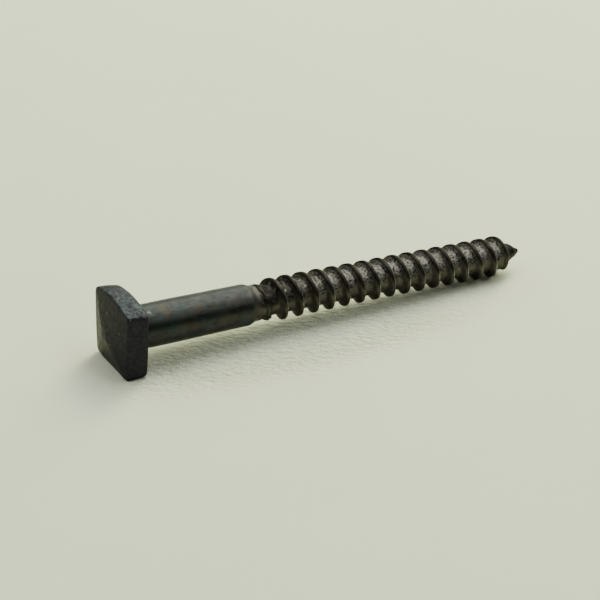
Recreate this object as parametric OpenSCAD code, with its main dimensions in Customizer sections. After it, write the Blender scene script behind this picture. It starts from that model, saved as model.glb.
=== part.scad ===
// Square-head coach screw, 6 mm class, 65 mm nominal length, right-hand wood thread.
// The screw lies along X: the head is at -X, the point at +X, and +Z is up.
// The origin is the centre of the bearing face, the flat ring under the head.
// The real screw is one forged and rolled piece of steel. Each node is one region of it,
// and the regions meet face to face, so that together they are the whole piece.

/* [Head] */
// Distance between opposite flats, measured at the corners
head_flats = 10; // [9:0.1:10.4]
// How far the middle of each flat stands proud of its corners
flat_bulge = 0.36; // [0.1:0.05:0.5]
// Radius of the four upright corners
corner_r = 0.6; // [0.3:0.1:1.2]
// Thickness of the square part, from the bearing face to the rim of the crown
head_rim = 2.8; // [2.2:0.1:4]
// Height of the low four-sided crown on top of the head
crown_h = 1.4; // [0.4:0.1:2]
// Width of the small flat left at the peak of the crown, as a share of the head's width
peak_share = 0.05; // [0.02:0.01:0.2]
// Radius of the fillet between the bearing face and the shank
fillet_r = 0.5; // [0.2:0.1:0.8]

/* [Shank] */
// Diameter of the plain shank
shank_d = 6.1; // [5.6:0.1:6.4]
// Distance from the bearing face to the end of the plain shank
shank_end = 17.8; // [10:0.2:18]
// Diameter of the rolled blank, which shows as a neck above the thread
neck_d = 5.2; // [5:0.1:5.4]
// Length of the cone from the shank down to the neck
neck_cone = 1.3; // [0.5:0.1:1.4]

/* [Thread] */
// Axial distance from one turn to the next
pitch = 2.6; // [2.4:0.1:3]
// Outer diameter of the thread
thread_d = 6.1; // [5.6:0.1:6.4]
// Diameter at the root of the thread
root_d = 4.3; // [3.9:0.1:4.6]
// Where a crest crosses the +Y side, which sets how the thread is turned about the axis
crest_start = 21.8; // [21:0.1:22.6]
// Distance from the bearing face to where the run-out of the thread begins
runout_start = 19.4; // [19.4:0.1:19.8]
// Distance from the bearing face to the first full turn
full_start = 22.2; // [21.8:0.1:23]

/* [Point] */
// Distance from the bearing face to where the thread begins to shrink
point_start = 61.7; // [50:0.1:62]
// Distance from the bearing face to the blunt tip
tip_x = 65.4; // [65:0.1:66]
// Diameter of the blunt tip
tip_d = 0.7; // [0.4:0.1:1]

/* [Hidden] */

black_oxide = [0.17, 0.18, 0.17];
burnished = [0.24, 0.24, 0.22];

// Head outline: four shallow arcs joined by four tangent corner arcs
half_flat = head_flats / 2;
flat_arc_r = (half_flat * half_flat + flat_bulge * flat_bulge) / (2 * flat_bulge);
flat_centre = flat_arc_r - half_flat - flat_bulge;
corner_c = (sqrt(2 * pow(flat_arc_r - corner_r, 2) - flat_centre * flat_centre) - flat_centre) / 2;
flat_sweep = atan2(corner_c, corner_c + flat_centre);
// Three facets a flat, so that the head rests on a truly flat middle
flat_steps = 3;
corner_steps = 4;

// Thread form: rings square to the axis, each turned by the helix
rings_per_turn = 16;
ring_step = pitch / rings_per_turn;
// One turn of the ridge as [place across the pitch, share of the ridge's height]
half_form = [[0, 1], [0.055, 0.98], [0.1, 0.88], [0.14, 0.66], [0.19, 0.36], [0.235, 0.12],
    [0.29, 0], [0.36, 0], [0.43, 0]];
form = concat(
    [for (i = [0 : len(half_form) - 1]) half_form[i]],
    [[0.5, 0]],
    [for (i = [len(half_form) - 1 : -1 : 1]) [1 - half_form[i][0], half_form[i][1]]]
);
// The root leaves the neck a little before the crest reaches its full height
root_runout_end = full_start - 0.2;
crest_runout_start = runout_start + 0.8;
// The tip's crest and root meet, so the thread fades into the cone
tip_r = tip_d / 2;

// 0 before a, 1 after b, smooth between them
function ease(a, b, x) = let (t = min(1, max(0, (x - a) / (b - a)))) t * t * (3 - 2 * t);

// Straight fade from 0 at a to 1 at b
function fade(a, b, x) = min(1, max(0, (x - a) / (b - a)));

function mix(a, b, t) = a + (b - a) * t;

// Radius of the root and of the crest at a place along the axis
function root_r(x) =
    x < full_start ? mix(neck_d / 2, root_d / 2, ease(runout_start, root_runout_end, x))
    : mix(root_d / 2, tip_r, fade(point_start, tip_x, x));

function crest_r(x) =
    x < full_start ? mix(neck_d / 2 + 0.04, thread_d / 2, ease(crest_runout_start, full_start, x))
    : mix(thread_d / 2, tip_r, fade(point_start, tip_x, x));

// One point of the thread's surface: ring at x, point p of the form
function thread_point(x, p) =
    let (turn = 360 * (p[0] + (x - crest_start) / pitch), r = mix(root_r(x), crest_r(x), p[1]))
    [x, r * cos(turn), r * sin(turn)];

// Square head outline with crowned flats and rounded corners
function head_outline() = [
    for (side = [0 : 3])
        let (turn = -90 * side)
        for (p = concat(
            [for (i = [0 : flat_steps])
                let (t = flat_sweep * (2 * i / flat_steps - 1))
                [flat_arc_r * sin(t), flat_arc_r * cos(t) - flat_centre]],
            [for (i = [1 : corner_steps - 1])
                let (t = flat_sweep + (90 - 2 * flat_sweep) * i / corner_steps)
                [corner_c + corner_r * sin(t), corner_c + corner_r * cos(t)]]
        ))
            [p[0] * cos(turn) - p[1] * sin(turn), p[0] * sin(turn) + p[1] * cos(turn)]
];

// Turns a solid drawn along +Z so that it lies along +X
module along_x() {
    rotate([90, 0, 90]) children();
}

// Closed solid from rings of equal length, with the first and last ring as flat ends
module ring_solid(rings) {
    n = len(rings[0]);
    last = len(rings) - 1;
    polyhedron(
        points = [for (ring = rings) each ring],
        faces = concat(
            [[for (j = [n - 1 : -1 : 0]) j]],
            [for (i = [0 : last - 1], j = [0 : n - 1])
                let (a = i * n + j, b = i * n + (j + 1) % n)
                [a, b, b + n]],
            [for (i = [0 : last - 1], j = [0 : n - 1])
                let (a = i * n + j, b = i * n + (j + 1) % n)
                [a, b + n, a + n]],
            [[for (j = [0 : n - 1]) last * n + j]]
        )
    );
}

// Stretch of thread between two flat ends
module thread_stretch(x0, x1) {
    count = ceil((x1 - x0) / ring_step);
    ring_solid([for (i = [0 : count])
        let (x = mix(x0, x1, i / count))
        [for (j = [len(form) - 1 : -1 : 0]) thread_point(x, form[j])]]);
}

// Low pyramid with the head's own outline, peak towards -X
module head_crown() {
    outline = head_outline();
    color(black_oxide)
        ring_solid([for (layer = [[1, 0], [peak_share, crown_h]])
            [for (j = [len(outline) - 1 : -1 : 0])
                [-head_rim - layer[1], layer[0] * outline[j][0], layer[0] * outline[j][1]]]]);
}

// Square part that the wrench turns, with the fillet that runs into the shank
module head_square() {
    color(black_oxide)
        along_x() {
            translate([0, 0, -head_rim]) linear_extrude(height = head_rim) polygon(head_outline());
            rotate_extrude($fn = 96) polygon(fillet_profile());
        }
}

function fillet_profile() = concat(
    [[0, 0]],
    [for (t = [0 : 22.5 : 90])
        [shank_d / 2 + fillet_r * (1 - sin(t)), fillet_r * (1 - cos(t))]],
    [[0, fillet_r]]
);

// Plain shank, from the fillet to the neck's cone
module shank() {
    color(black_oxide)
        along_x() translate([0, 0, fillet_r]) cylinder(h = shank_end - fillet_r, d = shank_d, $fn = 96);
}

// Cone and short neck of the rolled blank
module neck() {
    color(black_oxide)
        along_x() rotate_extrude($fn = 96)
            polygon([
                [0, shank_end],
                [shank_d / 2, shank_end],
                [neck_d / 2, shank_end + neck_cone],
                [neck_d / 2, runout_start],
                [0, runout_start]
            ]);
}

// First turn, where the ridge rises out of the neck
module thread_runout() {
    color(burnished) thread_stretch(runout_start, full_start);
}

// Full turns of the wood thread
module thread() {
    color(burnished) thread_stretch(full_start, point_start);
}

// Blunt gimlet point, with the last turns shrinking into its cone
module gimlet_point() {
    color(burnished) thread_stretch(point_start, tip_x);
}

head_crown();
head_square();
shank();
neck();
thread_runout();
thread();
gimlet_point();
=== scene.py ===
"""Looks of a square-head coach screw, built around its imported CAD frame.

Everything is in metres, in the CAD's own frame: the screw lies along X with its head at -X, +Z
is up, and the origin is the centre of the bearing face under the head. Each visible piece is a
closed mesh that stands for one CAD node, and neighbouring pieces share their edge rings, so the
whole screw looks like the single piece of steel that it is.
"""

import math
from itertools import product

import bpy
import numpy as np
from mathutils import Matrix, Vector


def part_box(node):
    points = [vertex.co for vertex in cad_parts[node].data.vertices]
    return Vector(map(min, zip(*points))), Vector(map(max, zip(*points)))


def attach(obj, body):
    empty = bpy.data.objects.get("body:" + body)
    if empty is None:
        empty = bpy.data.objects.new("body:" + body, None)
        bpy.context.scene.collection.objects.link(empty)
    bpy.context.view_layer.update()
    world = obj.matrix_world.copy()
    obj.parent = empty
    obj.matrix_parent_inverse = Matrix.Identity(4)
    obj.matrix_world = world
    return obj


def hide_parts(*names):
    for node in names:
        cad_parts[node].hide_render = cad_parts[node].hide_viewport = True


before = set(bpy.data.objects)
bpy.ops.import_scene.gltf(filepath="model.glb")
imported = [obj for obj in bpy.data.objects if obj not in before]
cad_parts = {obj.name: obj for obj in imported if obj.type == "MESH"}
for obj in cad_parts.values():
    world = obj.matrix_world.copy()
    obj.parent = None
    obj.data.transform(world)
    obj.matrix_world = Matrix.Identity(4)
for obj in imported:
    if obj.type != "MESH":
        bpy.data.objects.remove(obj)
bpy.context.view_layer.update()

MM = 0.001

# ---------------------------------------------------------------- places read from the frame
PEAK_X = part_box("head_crown")[0][0]
RIM_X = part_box("head_square")[0][0]
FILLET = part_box("head_square")[1][0]
HALF_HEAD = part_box("head_square")[1][2]
SHANK_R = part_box("shank")[1][2]
SHANK_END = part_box("shank")[1][0]
RUNOUT_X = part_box("thread_runout")[0][0]
FULL_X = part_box("thread")[0][0]
POINT_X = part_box("gimlet_point")[0][0]
TIP_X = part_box("gimlet_point")[1][0]
CREST_R = SHANK_R

# ---------------------------------------------------------------- sizes of the thread form
PITCH = 2.6 * MM
ROOT_R = 2.25 * MM
NECK_R = 2.65 * MM
NECK_CONE = 1.3 * MM
CREST_START = 21.82 * MM      # where a crest crosses the +Y side
TIP_R = 0.35 * MM
RIDGE_HEAD_SIDE = 0.31        # reach of the ridge's flank towards the head, in pitches
RIDGE_TIP_SIDE = 0.22         # reach of its steeper flank towards the tip
RIDGE_CREST = 0.08            # half width of its rounded crest

# ---------------------------------------------------------------- mesh resolution
COLUMNS = 256                 # points round the head, shank and neck
CROWN_ROWS = 44               # rings from the crown's peak to the edge of its faces
RIM_ROWS = 6                  # rings over the edge between crown and sides
SIDE_ROWS = 23                # rings along the head's sides
BACK_ROWS = 8                 # rings over the edge between sides and bearing face
FACE_ROWS = 13                # rings across the bearing face
FILLET_ROWS = 7               # rings up the fillet
SHANK_STEP = 0.13 * MM        # between two rings of the shank
NECK_ROWS = 25                # rings of the cone and the neck
TURN_ROWS = 44                # rings to one turn of the thread
FORM_POINTS = 40              # points round one ring of the thread


# ================================================================ repeatable noise
# Every use has its own seed, with room above it, because one call takes up to six more
NOISE_LAYERS = 3
PIT_RADII = (0.2, 0.45)       # smallest and largest pit, in cells


def lattice_random(ix, iy, iz, seed):
    """A repeatable random value in 0..1 for each whole-number lattice point."""
    n = ix * 73856093 ^ iy * 19349663 ^ iz * 83492791 ^ (seed * 7919 + 101)
    n &= 0xFFFFFFFF
    for shift, factor in ((16, 0x7FEB352D), (15, 0x2C1B3C6D)):
        n ^= n >> shift
        n = n * factor & 0xFFFFFFFF
    return (n ^ n >> 16) / 0xFFFFFFFF


def smooth_noise(points, cell, seed):
    """Smooth random values in -1..1 at points, which vary over about one cell."""
    q = points / cell
    base = np.floor(q).astype(np.int64)
    t = q - base
    t = t * t * (3 - 2 * t)
    total = np.zeros(len(points))
    for corner in product((0, 1), repeat=3):
        weight = np.abs(1 - np.array(corner) - t).prod(axis=1)
        total += weight * lattice_random(*(base + np.array(corner)).T, seed)
    return total * 2 - 1


def layered_noise(points, cell, seed):
    """Several sizes of smooth noise on top of each other, in about -1..1."""
    total = np.zeros(len(points))
    for k in range(NOISE_LAYERS):
        total += smooth_noise(points, cell / 2 ** k, seed + k) / 2 ** k
    return total / 1.5


def pits(points, cell, seed, share):
    """Depth in 0..1 of scattered round pits, one in each of a share of the lattice cells."""
    small, large = PIT_RADII
    q = points / cell
    base = np.floor(q).astype(np.int64)
    depth = np.zeros(len(points))
    for offset in product((-1, 0, 1), repeat=3):
        ix, iy, iz = (base + np.array(offset)).T
        centre = np.stack([
            ix + lattice_random(ix, iy, iz, seed + 1),
            iy + lattice_random(ix, iy, iz, seed + 2),
            iz + lattice_random(ix, iy, iz, seed + 3),
        ], axis=1)
        present = lattice_random(ix, iy, iz, seed + 4) < share
        radius = small + (large - small) * lattice_random(ix, iy, iz, seed + 5)
        away = np.linalg.norm(q - centre, axis=1) / radius
        bowl = np.clip(1 - away * away, 0, None) ** 1.5
        strength = 0.4 + 0.6 * lattice_random(ix, iy, iz, seed + 6)
        depth = np.maximum(depth, present * bowl * strength)
    return depth


def ease(low, high, x):
    """0 below low, 1 above high and smooth between them."""
    t = np.clip((x - low) / (high - low), 0, 1)
    return t * t * (3 - 2 * t)


def steps(count):
    """Even steps up to 1, without the 0 before the first."""
    return np.linspace(0, 1, count + 1)[1:]


# ================================================================ surface grids
def grid_normals(grid, first_normal=None):
    """Outward unit normals of a grid of rings that runs along +X, closed round each ring."""
    along = np.gradient(grid, axis=0)
    around = np.roll(grid, -1, axis=1) - np.roll(grid, 1, axis=1)
    normals = np.cross(around, along)
    length = np.linalg.norm(normals, axis=2, keepdims=True)
    normals = normals / np.maximum(length, 1e-15)
    if first_normal is not None:
        normals[0] = first_normal
    return normals


def push_in(grid, normals, depth):
    """Moves each point of the grid into the metal by its depth in metres."""
    return grid - normals * np.clip(depth, 0, None).reshape(grid.shape[:2] + (1,))


def flat_list(grid):
    """All points of the grid, one after the other."""
    return grid.reshape(-1, 3)


def grid_faces(rows, columns):
    """Faces between the rings, and a fan at each end to the two points that follow the grid."""
    row = np.arange(rows - 1)[:, None] * columns
    column = np.arange(columns)
    after = (column + 1) % columns
    quads = np.stack([row + column, row + after, row + columns + after, row + columns + column], axis=2)
    first, last, tail = rows * columns, rows * columns + 1, (rows - 1) * columns
    start_cap = np.stack([np.full(columns, first), after, column], axis=1)
    end_cap = np.stack([np.full(columns, last), tail + column, tail + after], axis=1)
    return quads.reshape(-1, 4).tolist() + start_cap.tolist() + end_cap.tolist()


def closed_mesh(name, grid, normals, masks):
    """A closed mesh from rings of points, with a flat cap inside the metal at each end."""
    ends = np.stack([grid[0].mean(axis=0), grid[-1].mean(axis=0)])
    verts = np.concatenate([flat_list(grid), ends])
    faces = grid_faces(*grid.shape[:2])
    mesh = bpy.data.meshes.new(name)
    mesh.from_pydata(verts.tolist(), [], faces)
    mesh.polygons.foreach_set("use_smooth", np.ones(len(mesh.polygons), bool))
    all_normals = np.concatenate([flat_list(normals), [[-1, 0, 0], [1, 0, 0]]])
    mesh.normals_split_custom_set_from_vertices(all_normals.tolist())
    for mask, values in masks.items():
        layer = mesh.attributes.new(mask, "FLOAT", "POINT")
        padded = np.concatenate([values.reshape(-1), [0, 0]])
        layer.data.foreach_set("value", padded.astype(np.float32))
    mesh.update()
    piece = bpy.data.objects.new(name, mesh)
    bpy.context.scene.collection.objects.link(piece)
    return piece


def stand_for(piece, node, material):
    """Lets a finished piece take the place of its CAD node."""
    piece.data.materials.append(material)
    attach(piece, "root")
    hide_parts(node)


# ================================================================ head, shank and neck
# The forged head is not quite square. For each flat, in order +Y, +Z, -Y, -Z: the direction it
# faces, its distance from the axis at its corners and how far it is crowned, at rim and at back
RIM_FLATS = (
    (-6.2, 4.79 * MM, 0.07 * MM),
    (92.1, 4.71 * MM, 0.51 * MM),
    (177.6, 5.13 * MM, 0.04 * MM),
    (271.2, 5.25 * MM, 0.02 * MM),
)
BACK_FLATS = (
    (-0.7, 4.89 * MM, 0.24 * MM),
    (93.0, 4.55 * MM, 0.76 * MM),
    (178.3, 5.08 * MM, 0.17 * MM),
    (271.1, 5.11 * MM, 0.09 * MM),
)
# Radius of the corner between each flat and the next, at the rim and at the back
RIM_CORNERS = (0.74 * MM, 0.35 * MM, 0.8 * MM, 0.7 * MM)
BACK_CORNERS = (0.9 * MM, 0.55 * MM, 0.8 * MM, 0.8 * MM)
RIM_EDGE = 0.28 * MM          # width of the rounded edge between crown and sides
BACK_EDGE = 0.38 * MM         # and of the one between sides and bearing face
CORNER_SOFTNESS = 1.67        # tunes the blend of two flats to a corner's radius
PEAK = np.array([PEAK_X, 0.15 * MM, -0.2 * MM])     # the crown's peak is off the axis
# A light flake on the shank just behind the head
CHIP_PLACE = np.array([2.05, -1.52, 2.64]) * MM
CHIP_REACH = np.array([0.3, 0.5, 0.5]) * MM
# The screw is not quite straight: how far its axis strays upwards at places along it, in mm
BOW = ((3, -0.14), (20, 0.05), (27, 0.08), (42, 0.05), (55, -0.08), (61, -0.13), (63, -0.05), (65.4, 0))


def column_angles():
    """Angles round the axis, closer together towards the head's four corners."""
    even = np.arange(COLUMNS) / COLUMNS * 2 * math.pi
    return even + 0.16 * np.sin(4 * even)


def head_outline(angles, share, crisp=1.0):
    """Distance from the axis to the head's side, at a share of the way from rim to back."""
    quarter = (np.floor(angles / (math.pi / 2)).astype(int)) % 4
    corners = np.array(RIM_CORNERS) * (1 - share) + np.array(BACK_CORNERS) * share
    sharpness = CORNER_SOFTNESS / (corners[quarter] * crisp)
    total = np.zeros(len(angles))
    for rim, back in zip(RIM_FLATS, BACK_FLATS):
        facing, distance, crown = (a * (1 - share) + b * share for a, b in zip(rim, back))
        off = angles - math.radians(facing)
        arc = (distance ** 2 + crown ** 2) / (2 * crown)
        centre = arc - distance - crown
        inside = np.clip(arc ** 2 - (centre * np.sin(off)) ** 2, 0, None)
        reach = np.sqrt(inside) - centre * np.cos(off)
        # A flat has no say on the far side of the head
        reach = np.where(np.cos(off) > 0.3, reach, 1.0)
        total += np.exp(-sharpness * (reach - HALF_HEAD))
    barrel = 0.08 * MM * 4 * share * (1 - share)
    return HALF_HEAD - np.log(total) / sharpness + barrel


def ring(x, reach, angles):
    """Points round the axis, each at its reach from it."""
    return np.stack([np.broadcast_to(x, reach.shape), reach * np.cos(angles), reach * np.sin(angles)], axis=1)


def bent_rows(start, corner, end, count):
    """Rings along a smooth curve that leaves start and arrives at end towards the corner."""
    return [(1 - t) ** 2 * start + 2 * t * (1 - t) * corner + t * t * end for t in steps(count)]


def rim_x(y, z):
    """The head sits slightly askew, so its rim is nearest the shank at -Y."""
    return RIM_X - 0.15 * MM - 0.025 * y - 0.01 * z


def back_x(y):
    """The bearing face leans the same way."""
    return 0.14 * MM - 0.046 * y


def rim_ring(angles, reach, inset=0.0):
    """A ring at the head's front rim, or inset from it towards the shank."""
    return ring(rim_x(reach * np.cos(angles), reach * np.sin(angles)) + inset, reach, angles)


def crown_rows(angles):
    """Rings from the crown's peak to the edge of its four faces."""
    rows = []
    for share in np.linspace(0.004, 1, CROWN_ROWS):
        # The four ridges are crisper than the corners they run out to
        reach = head_outline(angles, 0.0, 0.3 + 0.7 * ease(0.4, 0.9, share))
        rim = rim_ring(angles, reach)
        inner = rim - (rim - PEAK) * (RIM_EDGE / reach)[:, None]
        row = PEAK + (inner - PEAK) * share
        # The peak itself is a little blunt
        row[:, 0] += 0.12 * MM * math.exp(-(share / 0.09) ** 2)
        rows.append(row)
    return rows


def bearing_rows(face, angles):
    """Rings across the bearing face and up the fillet to the shank."""
    foot = ring(0, np.full(len(angles), SHANK_R + FILLET), angles)
    rows = [face + (foot - face) * t for t in steps(FACE_ROWS)]
    for t in steps(FILLET_ROWS) * math.pi / 2:
        reach = np.full(len(angles), SHANK_R + FILLET * (1 - math.sin(t)))
        rows.append(ring(FILLET * (1 - math.cos(t)), reach, angles))
    return rows


def head_rows(angles):
    """Rings of the head from the crown's peak, over the rim and the bearing face, to the shank."""
    rows = crown_rows(angles)
    rim = rim_ring(angles, head_outline(angles, 0.0))
    over = rim_ring(angles, head_outline(angles, 0.08), RIM_EDGE)
    rows += bent_rows(rows[-1], rim, over, RIM_ROWS)
    wide = head_outline(angles, 1.0)
    rear_x = back_x(wide * np.cos(angles))
    # The sides end where the rounded edge at the back begins
    for t in steps(SIDE_ROWS):
        reach = head_outline(angles, 0.08 + 0.8 * t)
        rows.append(ring(over[:, 0] + (rear_x - BACK_EDGE - over[:, 0]) * t, reach, angles))
    face = ring(rear_x, wide - BACK_EDGE, angles)
    rows += bent_rows(rows[-1], ring(rear_x, wide, angles), face, BACK_ROWS)
    return rows + bearing_rows(face, angles)


def bow(x):
    """How far the axis strays upwards at x, in metres."""
    places, heights = np.array(BOW).T * MM
    return np.interp(x, places, heights)


def shank_rows(angles):
    """Rings of the plain shank after the fillet, then of the cone and the neck."""
    shank_x = np.linspace(FILLET, SHANK_END, int((SHANK_END - FILLET) / SHANK_STEP))[1:]
    neck_x = np.linspace(SHANK_END, RUNOUT_X, NECK_ROWS + 1)[1:]
    rows = []
    for x in np.concatenate([shank_x, neck_x]):
        # The shank is a little thicker near the head
        r = SHANK_R + 0.09 * MM * ease(1 * MM, 3 * MM, x) * (1 - ease(4 * MM, SHANK_END, x))
        r += (NECK_R - SHANK_R) * ease(SHANK_END - 0.1 * MM, SHANK_END + NECK_CONE, x)
        rows.append(ring(x, np.full(len(angles), r), angles))
    return rows, len(shank_x)


def forged_wear(points):
    """How deep the forged head's surface lies under its ideal shape, in metres."""
    lumps = layered_noise(points, 1.6 * MM, 11) * 0.03 * MM + 0.022 * MM
    dents = pits(points, 0.9 * MM, 31, share=0.4) * 0.05 * MM
    specks = pits(points, 0.35 * MM, 51, share=0.4) * 0.02 * MM
    return lumps + dents + specks


def drawn_wear(points):
    """The same for the shank, which is drawn smooth: long shallow streaks and a few pits."""
    stretched = points * np.array([0.25, 1, 1])
    streaks = layered_noise(stretched, 0.5 * MM, 71) * 0.008 * MM + 0.008 * MM
    scale = pits(points, 0.6 * MM, 91, share=0.3) * 0.02 * MM
    return streaks + scale


def chip_mask(grid):
    """1 on the light flake behind the head, fading to 0 round it."""
    return np.exp(-np.linalg.norm((grid - CHIP_PLACE) / CHIP_REACH, axis=2) ** 4)


def make_body():
    """Builds the head, shank and neck as one grid and cuts it into their pieces."""
    angles = column_angles()
    head = head_rows(angles)
    shank, shank_count = shank_rows(angles)
    grid = np.stack(head + shank)
    # Nothing is wider than the forged square, whose corners the rounding can overshoot
    grid[:, :, 1:] = np.clip(grid[:, :, 1:], -0.999 * HALF_HEAD, 0.999 * HALF_HEAD)
    normals = grid_normals(grid, first_normal=(-1, 0, 0))
    points = flat_list(grid)
    on_shank = ease(0.1 * MM, 0.8 * MM, points[:, 0])
    depth = forged_wear(points) * (1 - on_shank) + drawn_wear(points) * on_shank
    # The edge shared with the thread stays where it is
    depth *= 1 - ease(RUNOUT_X - 0.15 * MM, RUNOUT_X, points[:, 0])
    grid = push_in(grid, normals, depth)
    grid[:, :, 2] += bow(grid[:, :, 0]) * ease(-1 * MM, 3 * MM, grid[:, :, 0])
    normals = grid_normals(grid, first_normal=(-1, 0, 0))
    chip = chip_mask(grid)
    crown_end, square_end = CROWN_ROWS + RIM_ROWS - 1, len(head) - 1
    shank_end = square_end + shank_count
    cuts = {
        "head_crown": (0, crown_end),
        "head_square": (crown_end, square_end),
        "shank": (square_end, shank_end),
        "neck": (shank_end, len(grid) - 1),
    }
    return {
        name: closed_mesh(name + "_skin", grid[a:b + 1], normals[a:b + 1], {"chip": chip[a:b + 1]})
        for name, (a, b) in cuts.items()
    }


# ================================================================ thread
NOISE_R = 3 * MM              # the thread's wander is read on a plain cylinder of this radius
EDGE_HIGHLIGHT_PLACE = -0.072            # where the painted highlight line lies from the crest, in pitches
CREASE_PLACE = 0.13           # the same for the fold along the first turn


def form_places():
    """Places across one pitch, closer together over the ridge than in the valley."""
    even = np.arange(FORM_POINTS) / FORM_POINTS
    return even - 0.05 * np.sin(2 * math.pi * even)


def from_crest(place):
    """Distance in pitches from the nearest crest, positive on the side of the head."""
    return (place + 0.5) % 1 - 0.5


def ridge_share(off):
    """Height of the ridge's outline, 0 in the valley and 1 on the crest."""
    reach = np.where(off > 0, RIDGE_HEAD_SIDE, RIDGE_TIP_SIDE)
    slope = np.clip((reach - np.abs(off)) / (reach - RIDGE_CREST), 0, 1)
    round_top = slope * slope * (3 - 2 * slope)
    return 0.15 * slope + 0.85 * round_top


def root_radius(x):
    """Radius of the valley floor along the screw."""
    start = NECK_R + (ROOT_R - NECK_R) * ease(RUNOUT_X, FULL_X - 0.2 * MM, x)
    fade = np.clip((x - POINT_X) / (TIP_X - POINT_X), 0, 1)
    return start + (TIP_R - ROOT_R) * fade


def crest_radius(x):
    """Radius of the crest along the screw."""
    start = NECK_R + (CREST_R - NECK_R) * ease(RUNOUT_X + 0.8 * MM, FULL_X, x)
    fade = np.clip((x - POINT_X) / (TIP_X - POINT_X), 0, 1)
    proud = 0.12 * MM * ease(RUNOUT_X, FULL_X, x) * (1 - ease(FULL_X, 42 * MM, x))
    blunt = 0.35 * MM * ease(POINT_X - 0.6 * MM, POINT_X + 1.1 * MM, x) * (1 - fade)
    return start + (TIP_R - CREST_R) * fade + proud - blunt


def thread_rings():
    """Places of the rings along the screw, and the first and last ring of each piece."""
    stretches = (
        ("thread_runout", RUNOUT_X, FULL_X),
        ("thread", FULL_X, POINT_X),
        ("gimlet_point", POINT_X, TIP_X),
    )
    places, cuts = [RUNOUT_X], {}
    for name, x0, x1 in stretches:
        count = math.ceil((x1 - x0) / PITCH * TURN_ROWS)
        cuts[name] = (len(places) - 1, len(places) - 1 + count)
        places.extend(np.linspace(x0, x1, count + 1)[1:])
    return np.array(places)[:, None], cuts


def turned_grid(x, radius, turn):
    """A grid of rings at x, each point at its radius and turned by its angle."""
    return np.stack([np.broadcast_to(x, turn.shape), radius * np.cos(turn), radius * np.sin(turn)], axis=2)


def wander(x, turn, early):
    """How far the ridge strays from its helix, in pitches, most of all on the first turn."""
    points = flat_list(turned_grid(x, NOISE_R, turn))
    jag = smooth_noise(points, 0.5 * MM, 171).reshape(turn.shape)
    sway = smooth_noise(points, 1.8 * MM, 181).reshape(turn.shape)
    return jag * (0.01 + 0.09 * early) + 0.012 * sway


def rolled_wear(points, share, off, early):
    """How deep the rolled thread lies under its ideal shape, in metres."""
    share, off, early = share.reshape(-1), off.reshape(-1), early.reshape(-1)
    rough = layered_noise(points, 0.7 * MM, 111) * 0.02 * MM + 0.015 * MM
    nicks = pits(points, 0.8 * MM, 131, share=0.35) * 0.06 * MM * ease(0.7, 1.0, share)
    chips = pits(points, 0.6 * MM, 151, share=0.7) * 0.09 * MM * (1 - ease(0.0, 0.35, share))
    # The first turn is folded over: a crease runs along it on the side of the head
    crease = 0.16 * MM * np.exp(-((off - CREASE_PLACE) / 0.04) ** 2) * early
    # The edge shared with the neck stays where it is
    inside = ease(RUNOUT_X, RUNOUT_X + 0.2 * MM, points[:, 0])
    return (rough + nicks + chips + crease) * inside


def thread_masks(x, share, off):
    """Where the material paints a highlight line along each ridge's edge, where the crest is dark and where
    the valleys are rubbed.
    """
    full = ease(FULL_X - 0.8 * MM, FULL_X, x)
    tip = ease(POINT_X + 0.9 * MM, POINT_X + 1.7 * MM, x)
    return {
        # Painted highlight: a thin band just past the crest on the tip's side, fainter on the first turn
        "edge_highlight": np.exp(-((off - EDGE_HIGHLIGHT_PLACE) / 0.016) ** 2) * (0.25 + 0.75 * full),
        "crest": np.minimum(ease(0.55, 0.8, share) + tip, 1),
        "used": ease(FULL_X, FULL_X + 9 * MM, x) * np.ones_like(off),
    }


def make_thread():
    """Builds the whole thread as one grid of turning rings and cuts it into its pieces."""
    x, cuts = thread_rings()
    place = form_places()[None, :]
    turn = 2 * math.pi * (place + (x - CREST_START) / PITCH)
    early = (1 - ease(FULL_X - 1.6 * MM, FULL_X - 0.2 * MM, x)) * np.ones_like(turn)
    off = from_crest(place + wander(x, turn, early))
    share = ridge_share(off)
    grid = turned_grid(x, root_radius(x) + (crest_radius(x) - root_radius(x)) * share, turn)
    grid = push_in(grid, grid_normals(grid), rolled_wear(flat_list(grid), share, off, early))
    grid[:, :, 2] += bow(grid[:, :, 0])
    normals = grid_normals(grid)
    masks = thread_masks(x, share, off)
    return {
        name: closed_mesh(
            name + "_skin", grid[a:b + 1], normals[a:b + 1],
            {key: value[a:b + 1] for key, value in masks.items()},
        )
        for name, (a, b) in cuts.items()
    }


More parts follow.
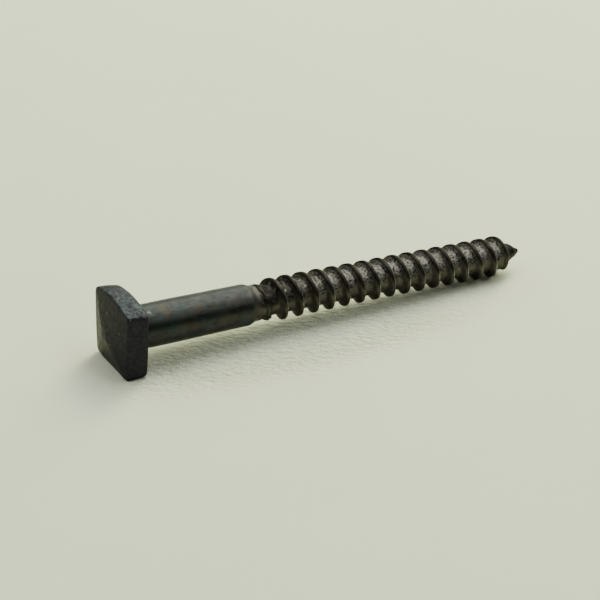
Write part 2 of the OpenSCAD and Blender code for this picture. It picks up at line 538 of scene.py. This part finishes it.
# ================================================================ materials
class Nodes:
    """Short calls that add and join the nodes of one material."""

    def __init__(self, name):
        """Starts a material with only its shader and the object's coordinates."""
        self.material = bpy.data.materials.new(name)
        self.material.use_nodes = True
        self.tree = self.material.node_tree
        self.shader = self.tree.nodes["Principled BSDF"]
        self.where = self.add("ShaderNodeTexCoord").outputs["Object"]

    def add(self, kind, inputs=None, **settings):
        """A new node with its settings made and its inputs fed."""
        node = self.tree.nodes.new(kind)
        for key, value in settings.items():
            setattr(node, key, value)
        for key, value in (inputs or {}).items():
            self.feed(node.inputs[key], value)
        return node

    def feed(self, socket, value):
        """Joins an output to the socket, or sets the socket's own value."""
        if isinstance(value, bpy.types.NodeSocket):
            self.tree.links.new(value, socket)
        else:
            socket.default_value = value

    def stretched(self, scale):
        """The object's own coordinates, stretched along its axes."""
        return self.add("ShaderNodeMapping", {"Vector": self.where, "Scale": scale}).outputs["Vector"]

    def noise(self, scale, detail=4.0, rough=0.55, where=None):
        """Blender's own noise in 0..1, with its scale in features to the metre."""
        node = self.add("ShaderNodeTexNoise", {
            "Vector": where or self.where, "Scale": scale, "Detail": detail, "Roughness": rough,
        })
        return node.outputs["Fac"]

    def ramp(self, value, stops):
        """A colour or grey for each value between the stops' places."""
        node = self.add("ShaderNodeValToRGB", {"Fac": value})
        band = node.color_ramp
        while len(band.elements) < len(stops):
            band.elements.new(0.5)
        for element, (place, colour) in zip(band.elements, stops):
            element.position = place
            if isinstance(colour, (int, float)):
                colour = (colour, colour, colour)
            element.color = (*colour, 1)
        return node.outputs["Color"]

    def mix(self, share, low, high, blend="MIX"):
        """From one colour to the other by a share. The node's colour sockets only have numbers."""
        node = self.add("ShaderNodeMix", data_type="RGBA", blend_type=blend)
        self.feed(node.inputs["Factor"], share)
        for place, value in ((6, low), (7, high)):
            if isinstance(value, tuple):
                value = (*value, 1)
            self.feed(node.inputs[place], value)
        return node.outputs[2]

    def maths(self, kind, a, b):
        """One step of arithmetic on two values."""
        node = self.add("ShaderNodeMath", operation=kind)
        self.feed(node.inputs[0], a)
        self.feed(node.inputs[1], b)
        return node.outputs[0]

    def mask(self, name):
        """One of the values that the mesh carries at its points."""
        return self.add("ShaderNodeAttribute", attribute_name=name).outputs["Fac"]

    def up(self, normal="Normal"):
        """How far the surface faces up, from -1 to 1."""
        facing = self.add("ShaderNodeNewGeometry").outputs[normal]
        return self.add("ShaderNodeSeparateXYZ", {"Vector": facing}).outputs["Z"]

    def bump(self, height, distance, strength):
        """A normal for relief of this height, as deep as the distance."""
        inputs = {"Height": height, "Distance": distance, "Strength": strength}
        return self.add("ShaderNodeBump", inputs).outputs["Normal"]

    def finish(self, colour, roughness, normal, metallic, edge_tint=(1, 1, 1)):
        """Joins everything to the shader and gives back the finished material."""
        self.feed(self.shader.inputs["Base Color"], colour)
        self.feed(self.shader.inputs["Roughness"], roughness)
        self.feed(self.shader.inputs["Normal"], normal)
        self.shader.inputs["Metallic"].default_value = metallic
        self.shader.inputs["Specular Tint"].default_value = (*edge_tint, 1)
        return self.material


def head_material():
    """Forge scale: nearly black and brown where it stands upright; blue-grey, pitted and lighter-flecked on
    top, which is partly painted light, as only the side that faces up gets it.
    """
    n = Nodes("head_black_oxide")
    top = n.ramp(n.up("True Normal"), [(0.45, 0.0), (0.75, 1.0)])
    mottle = n.noise(1900.0, 5.0, 0.7)
    lit_top_scale = n.ramp(mottle, [(0.36, (0.008, 0.0097, 0.0113)), (0.64, (0.039, 0.0445, 0.05))])
    cloud = n.ramp(n.noise(620.0, 2.0), [(0.35, (0.72, 0.72, 0.74)), (0.65, (1.3, 1.32, 1.32))])
    lit_top_scale = n.mix(1.0, lit_top_scale, cloud, "MULTIPLY")
    scale = n.ramp(mottle, [(0.3, (0.0147, 0.0141, 0.0195)), (0.7, (0.031, 0.0294, 0.0405))])
    rust = n.ramp(n.noise(260.0, 3.0), [(0.54, 0.0), (0.68, 1.0)])
    plain = n.mix(n.maths("MULTIPLY", rust, 0.5), scale, (0.0275, 0.0205, 0.0225))
    specks = n.ramp(n.noise(1000.0, 1.0), [(0.71, 0.0), (0.76, 1.0)])
    plain = n.mix(specks, plain, (0.085, 0.082, 0.062))
    # Painted light in part: only faces that point up take the bluer, lighter-flecked scale; the square's
    # other sides take the plain one
    colour = n.mix(top, plain, lit_top_scale)
    roughness = n.ramp(n.noise(1500.0), [(0.3, 0.4), (0.7, 0.56)])
    depth = n.ramp(top, [(0.0, 0.4), (1.0, 1.0)])
    normal = n.bump(n.noise(2800.0, 4.0, 0.65), 0.05 * MM, depth)
    return n.finish(colour, roughness, normal, 1.0, (0.85, 0.85, 0.8))


def shank_material():
    """Black oxide over drawn steel, faintly streaked, with temper tints and a browner neck."""
    n = Nodes("shank_black_oxide")
    along = n.stretched((0.6, 1.0, 1.0))
    base = n.ramp(n.noise(1500.0, 5.0, 0.66, along), [
        (0.3, (0.0143, 0.0146, 0.0163)), (0.7, (0.0305, 0.033, 0.034)),
    ])
    brown = n.ramp(n.noise(330.0, 4.0, 0.65, along), [(0.5, 0.0), (0.66, 1.0)])
    colour = n.mix(n.maths("MULTIPLY", brown, 0.85), base, (0.034, 0.029, 0.0225))
    blue = n.ramp(n.noise(410.0, 4.0, 0.65, along), [(0.5, 0.0), (0.66, 1.0)])
    colour = n.mix(n.maths("MULTIPLY", blue, 0.85), colour, (0.0165, 0.028, 0.031))
    place = n.add("ShaderNodeSeparateXYZ", {"Vector": n.where}).outputs["X"]
    ends = {"From Min": SHANK_END - 0.6 * MM, "From Max": SHANK_END + 1 * MM}
    neck = n.add("ShaderNodeMapRange", {"Value": place, **ends}).outputs["Result"]
    colour = n.mix(n.maths("MULTIPLY", neck, 0.6), colour, (0.05, 0.045, 0.036))
    # Painted reflection: from just above its side down to its underside it is made lighter and browner,
    # standing for the floor it mirrors.
    below = n.ramp(n.maths("SUBTRACT", 0.3, n.up()), [(0.0, 0.0), (0.25, 0.22), (0.75, 0.6), (1.0, 1.0)])
    colour = n.mix(below, colour, n.mix(1.0, colour, (3.6, 3.0, 3.2), "MULTIPLY"))
    scraped = n.ramp(n.noise(1500.0, 2.0), [(0.4, 0.0), (0.55, 1.0)])
    colour = n.mix(n.maths("MULTIPLY", n.mask("chip"), scraped), colour, (0.085, 0.083, 0.066))
    roughness = n.ramp(n.noise(1600.0, 4.0, 0.6, along), [(0.3, 0.28), (0.7, 0.43)])
    normal = n.bump(n.noise(2600.0, 5.0, 0.65, along), 0.03 * MM, 0.8)
    return n.finish(colour, roughness, normal, 1.0, (0.9, 0.93, 0.86))


def thread_material():
    """Rubbed pitted steel in the valleys where they face up and brown where they face down, dark ridges that
    are lighter underneath, and a bright line along each ridge's edge; the lighter undersides are painted
    reflection and the line a painted highlight.
    """
    n = Nodes("thread_burnished")
    top = n.ramp(n.up(), [(0.0, 0.0), (0.3, 1.0)])
    rubbed = n.ramp(n.noise(3000.0, 4.0, 0.7), [
        (0.4, (0.014, 0.0135, 0.013)), (0.58, (0.135, 0.13, 0.121)),
    ])
    brown = n.ramp(n.noise(1200.0), [(0.3, (0.058, 0.054, 0.05)), (0.7, (0.115, 0.104, 0.09))])
    oxide = n.ramp(n.noise(1100.0), [(0.3, (0.009, 0.0086, 0.008)), (0.7, (0.021, 0.0195, 0.017))])
    crest_underside_reflection = n.ramp(n.noise(1100.0), [(0.3, (0.035, 0.0332, 0.031)), (0.7, (0.08, 0.0745, 0.065))])
    black = n.ramp(n.noise(1500.0), [
        (0.35, (0.008, 0.0077, 0.0074)), (0.58, (0.026, 0.0245, 0.0225)), (0.68, (0.13, 0.122, 0.105)),
    ])
    # Painted light: the valleys take the rubbed grey only where they face up; where they face down they take
    # a brown made light as a painted reflection of the floor
    valley = n.mix(top, brown, n.mix(n.mask("used"), black, rubbed))
    # Painted reflection: the crest is dark oxide where it faces up and lighter where it faces down
    colour = n.mix(n.mask("crest"), valley, n.mix(top, crest_underside_reflection, oxide))
    # Painted highlight: a bright line along each ridge's edge, broken up by noise and weaker where the
    # surface faces up
    highlight_breakup = n.ramp(n.noise(900.0, 3.0), [(0.4, 0.15), (0.56, 1.0)])
    highlight_breakup = n.maths("MULTIPLY", highlight_breakup, n.ramp(top, [(0.0, 1.0), (1.0, 0.22)]))
    colour = n.mix(n.maths("MULTIPLY", n.mask("edge_highlight"), highlight_breakup), colour, (0.68, 0.655, 0.59))
    polish = n.ramp(n.noise(2400.0), [(0.3, 0.36), (0.7, 0.56)])
    roughness = n.mix(n.mask("crest"), polish, (0.42, 0.42, 0.42))
    off_crest = n.ramp(n.mask("crest"), [(0.0, 1.0), (1.0, 0.3)])
    pitted = n.maths("MULTIPLY", off_crest, n.ramp(top, [(0.0, 0.5), (1.0, 1.0)]))
    normal = n.bump(n.noise(2600.0, 5.0, 0.68), 0.06 * MM, pitted)
    return n.finish(colour, roughness, normal, 1.0, (0.6, 0.59, 0.55))


WRINKLE_RUN = math.radians(-32)           # the wrinkles are longer in this direction
WRINKLE_PLACE = (0.024, -0.006, 0)        # middle of the wrinkled patch of the floor
WRINKLE_REACH = (0.038, 0.0095, 1)        # half its length and half its width


def floor_material():
    """Pale, matt and faintly green, with fine shallow wrinkles near the screw."""
    n = Nodes("floor_sheet")
    colour = n.ramp(n.noise(40.0, 3.0), [(0.3, (0.567, 0.617, 0.412)), (0.7, (0.587, 0.637, 0.427))])
    run = n.add("ShaderNodeMapping", {"Vector": n.where}, vector_type="TEXTURE")
    run.inputs["Rotation"].default_value = (0, 0, WRINKLE_RUN)
    run.inputs["Scale"].default_value = (1.6, 1.0, 1.0)
    wrinkles = n.noise(1250.0, 3.0, 0.6, run.outputs["Vector"])
    patch = n.add("ShaderNodeMapping", {"Vector": n.where}, vector_type="TEXTURE")
    patch.inputs["Location"].default_value = WRINKLE_PLACE
    patch.inputs["Scale"].default_value = WRINKLE_REACH
    away = n.add("ShaderNodeVectorMath", {0: patch.outputs["Vector"]}, operation="LENGTH").outputs["Value"]
    normal = n.bump(wrinkles, 1.2 * MM, n.ramp(away, [(0.5, 1.0), (1.0, 0.03)]))
    return n.finish(colour, 0.75, normal, 0.0)


# ================================================================ stage, light and camera
TIP_CREST_X = 60.3 * MM       # the last full crest under the screw
HEAD_FOOT = 5.2 * MM          # how far under the axis the head touches the floor
FLOOR_REACH = 3.0             # half of the floor's side

WARM, MILD, SHEEN = (1.0, 1.02, 0.66), (1.0, 1.01, 1.1), (1.0, 1.01, 0.83)
ROOM_BRIGHT = Vector((0.3, 0.4, 0.87)).normalized()     # the side where the room is brightest
ROOM_DIM, ROOM_FULL = 0.11, 1.3                         # strength on its far half and on that side
LAMP_AIM = Vector((0.03, 0, -0.004))
# Each lamp: name, azimuth and elevation in degrees, distance and width in metres, watts, colour
FLOOR_LAMPS = (
    ("key", 40, 46, 0.75, 0.3, 4.8, WARM),
    ("key_low", 36, 26, 0.75, 0.3, 2.2, WARM),
    ("key_graze", 36, 9, 0.75, 0.3, 2.0, WARM),
    ("back_low", 104, 26, 0.75, 0.35, 1.7, MILD),
    ("right_low", 0, 26, 0.75, 0.3, 0.8, MILD),
    ("left_low", 144, 9, 0.75, 0.3, 1.1, MILD),
    ("top_back", 120, 68, 0.75, 0.3, 0.3, MILD),
    ("top_middle", 32, 68, 0.75, 0.45, 3.7, MILD),
    ("top_front", -44, 53, 0.75, 0.4, 1.4, MILD),
    ("left_fill", 170, 46, 0.75, 0.4, 1.9, MILD),
)
METAL_LAMPS = (
    ("sheen_top", 40, 57, 0.71, 0.87, 8.7, SHEEN),
    ("sheen_front", -37, 53, 0.69, 0.68, 1.9, SHEEN),
    ("sheen_left", 172, 56, 0.72, 0.66, 4.5, SHEEN),
)

CAMERA_AIM = Vector((27.68, 0.938, -1.604)) * MM
CAMERA_AZIMUTH = -31.84       # degrees from -Y towards +X
CAMERA_ELEVATION = 28.27
CAMERA_ROLL = 4.97
CAMERA_DISTANCE = 284.4 * MM
CAMERA_LENS = 117.2


def lying_tilt():
    """The head is wider than the thread, so the screw lies nose down by this angle."""
    return math.atan2(HEAD_FOOT - CREST_R, TIP_CREST_X)


def make_floor():
    """A wide plane under the head's lower edge and the last full crest."""
    mesh = bpy.data.meshes.new("floor")
    corners = [(x * FLOOR_REACH, y * FLOOR_REACH, 0) for x, y in ((-1, -1), (1, -1), (1, 1), (-1, 1))]
    mesh.from_pydata(corners, [], [(0, 1, 2, 3)])
    floor = bpy.data.objects.new("floor", mesh)
    bpy.context.scene.collection.objects.link(floor)
    floor.location = (0, 0, -HEAD_FOOT)
    floor.rotation_euler = (0, -lying_tilt(), 0)
    mesh.materials.append(floor_material())


def make_lamp(name, azimuth, elevation, distance, size, watts, colour, seen_by):
    """A round soft light that faces the screw and reaches either the floor or the metal."""
    data = bpy.data.lights.new(name, "AREA")
    data.shape = "DISK"
    data.size = size
    data.energy = watts
    data.color = colour
    lamp = bpy.data.objects.new(name, data)
    bpy.context.scene.collection.objects.link(lamp)
    a, e = math.radians(azimuth), math.radians(elevation)
    out = Vector((math.cos(a) * math.cos(e), math.sin(a) * math.cos(e), math.sin(e)))
    lamp.location = LAMP_AIM + out * distance
    lamp.rotation_euler = out.to_track_quat("Z", "Y").to_euler()
    lamp.visible_glossy = seen_by == "metal"
    lamp.visible_diffuse = seen_by == "floor"


def make_room():
    """What the metal mirrors: bright overhead and behind the screw, dim on the camera's side."""
    world = bpy.data.worlds.new("room")
    bpy.context.scene.world = world
    world.use_nodes = True
    tree = world.node_tree
    where = tree.nodes.new("ShaderNodeTexCoord")
    facing = tree.nodes.new("ShaderNodeVectorMath")
    facing.operation = "DOT_PRODUCT"
    tree.links.new(where.outputs["Generated"], facing.inputs[0])
    facing.inputs[1].default_value = ROOM_BRIGHT
    band = tree.nodes.new("ShaderNodeMapRange")
    band.interpolation_type = "SMOOTHSTEP"
    ends = (("From Min", 0.0), ("From Max", 1.0), ("To Min", ROOM_DIM), ("To Max", ROOM_FULL))
    for key, value in ends:
        band.inputs[key].default_value = value
    tree.links.new(facing.outputs["Value"], band.inputs["Value"])
    back = tree.nodes["Background"]
    back.inputs["Color"].default_value = (0.97, 1.0, 0.94, 1)
    tree.links.new(band.outputs["Result"], back.inputs["Strength"])
    # The floor has its own lamps
    world.cycles_visibility.diffuse = False


def make_lights():
    """Lamps for the floor, warm and strongest behind the screw's point, and lamps for the metal."""
    make_room()
    for lamp in FLOOR_LAMPS:
        make_lamp(*lamp, "floor")
    for lamp in METAL_LAMPS:
        make_lamp(*lamp, "metal")


def make_camera():
    """A long lens at the photograph's viewing angle."""
    data = bpy.data.cameras.new("camera")
    data.lens = CAMERA_LENS
    data.sensor_width = 36.0
    data.clip_start = 0.01
    camera = bpy.data.objects.new("camera", data)
    bpy.context.scene.collection.objects.link(camera)
    a, e = math.radians(CAMERA_AZIMUTH), math.radians(CAMERA_ELEVATION)
    back = Vector((math.sin(a) * math.cos(e), -math.cos(a) * math.cos(e), math.sin(e)))
    camera.location = CAMERA_AIM + back * CAMERA_DISTANCE
    roll = Matrix.Rotation(math.radians(CAMERA_ROLL), 3, "Z")
    camera.rotation_euler = (back.to_track_quat("Z", "Y").to_matrix() @ roll).to_euler()
    bpy.context.scene.camera = camera


def main():
    """Builds the stage and the seven pieces."""
    make_camera()
    make_floor()
    make_lights()
    head, shank, thread = head_material(), shank_material(), thread_material()
    looks = {
        "head_crown": ("head_black_oxide", head),
        "head_square": ("head_black_oxide", head),
        "shank": ("shank_black_oxide", shank),
        "neck": ("shank_black_oxide", shank),
        "thread_runout": ("thread_burnished", thread),
        "thread": ("thread_burnished", thread),
        "gimlet_point": ("thread_burnished", thread),
    }
    for node, piece in {**make_body(), **make_thread()}.items():
        slot, material = looks[node]
        stand_for(piece, node, material)


main()
